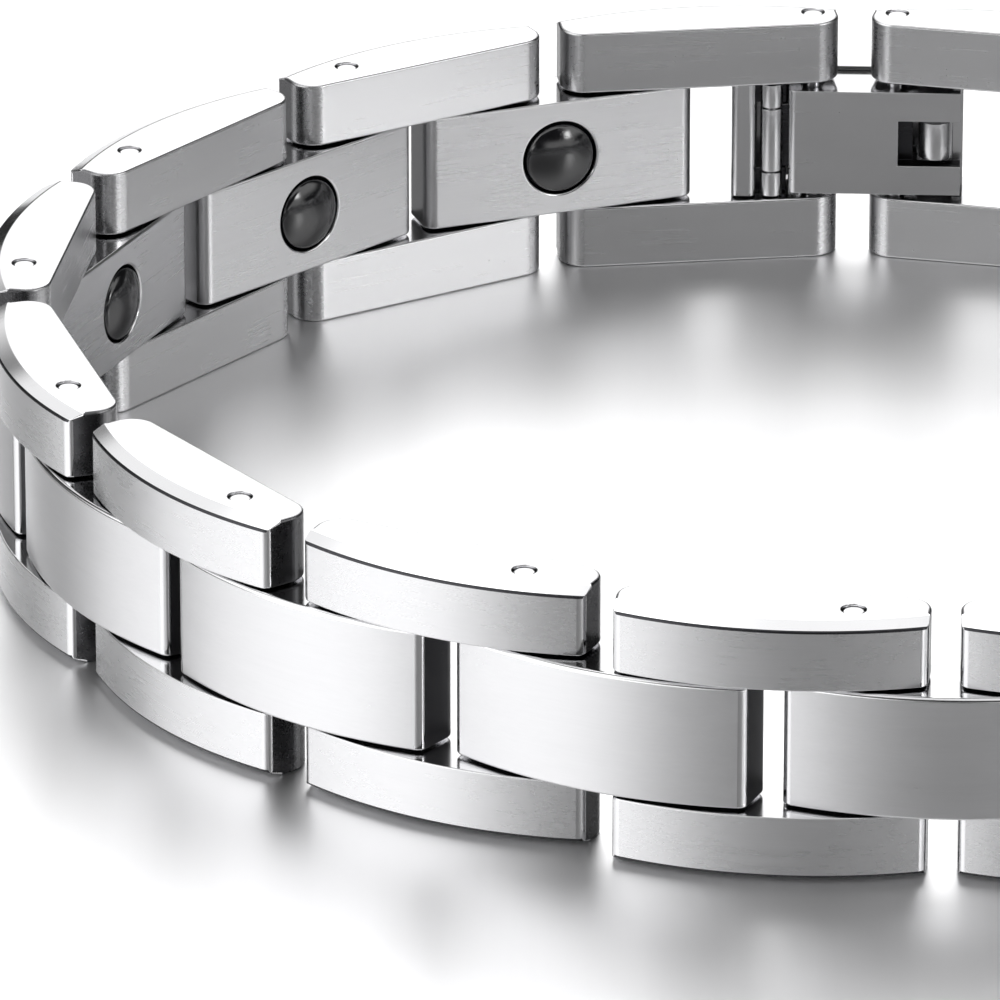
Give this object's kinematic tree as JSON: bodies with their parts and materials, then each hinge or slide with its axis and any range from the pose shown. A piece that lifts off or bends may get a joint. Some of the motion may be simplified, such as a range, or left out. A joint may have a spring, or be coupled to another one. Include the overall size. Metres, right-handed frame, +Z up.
{
  "type": "magnetic link bracelet",
  "caption": "Closed stainless steel link bracelet: domed rails and centre links pinned like bricks, black magnets inside, and a fold-over clasp.",
  "frame": {"origin": "middle of the loop's outer box, on the surface it stands on", "axes": "+Z up along the loop's axis; +X along the loop's long way; the clasp is on the +Y side"},
  "size_m": [0.075, 0.069, 0.011],
  "materials": {
    "rail_steel": "satin dome, polished flat edges and bevels",
    "centre_steel": "satin",
    "clasp_steel": "satin",
    "pin_steel": "polished",
    "magnet": "glossy black"
  },
  "bodies": {
    "band": {"outer_link_01": "rail_steel", "outer_link_02": "rail_steel", "outer_link_03": "rail_steel", "outer_link_04": "rail_steel", "outer_link_05": "rail_steel", "outer_link_06": "rail_steel", "outer_link_07": "rail_steel", "outer_link_08": "rail_steel", "outer_link_09": "rail_steel", "outer_link_10": "rail_steel", "outer_link_11": "rail_steel", "outer_link_12": "rail_steel", "outer_link_13": "rail_steel", "outer_link_14": "rail_steel", "outer_link_15": "rail_steel", "outer_link_16": "rail_steel", "centre_link_01": "centre_steel", "centre_link_02": "centre_steel", "centre_link_03": "centre_steel", "centre_link_04": "centre_steel", "centre_link_05": "centre_steel", "centre_link_06": "centre_steel", "centre_link_07": "centre_steel", "centre_link_08": "centre_steel", "centre_link_09": "centre_steel", "centre_link_10": "centre_steel", "centre_link_11": "centre_steel", "centre_link_12": "centre_steel", "centre_link_13": "centre_steel", "centre_link_14": "centre_steel", "centre_link_15": "centre_steel", "magnet_01": "magnet", "magnet_02": "magnet", "magnet_03": "magnet", "magnet_04": "magnet", "magnet_05": "magnet", "magnet_06": "magnet", "magnet_07": "magnet", "magnet_08": "magnet", "magnet_09": "magnet", "magnet_10": "magnet", "magnet_11": "magnet", "magnet_12": "magnet", "magnet_13": "magnet", "magnet_14": "magnet", "magnet_15": "magnet", "link_pins": "pin_steel", "clasp_pin": "pin_steel", "catch_pin": "pin_steel", "clasp_base": "clasp_steel", "hinge_pin": "pin_steel"},
    "lever": {"clasp_lever": "clasp_steel"}
  },
  "joints": [
    {"name": "lever_hinge", "type": "hinge", "parent": "band", "child": "lever", "pos_m": [-0.00443, 0.03146, 0.0055], "axis": [0, 0, 1], "range_deg": [0, 90]}
  ]
}
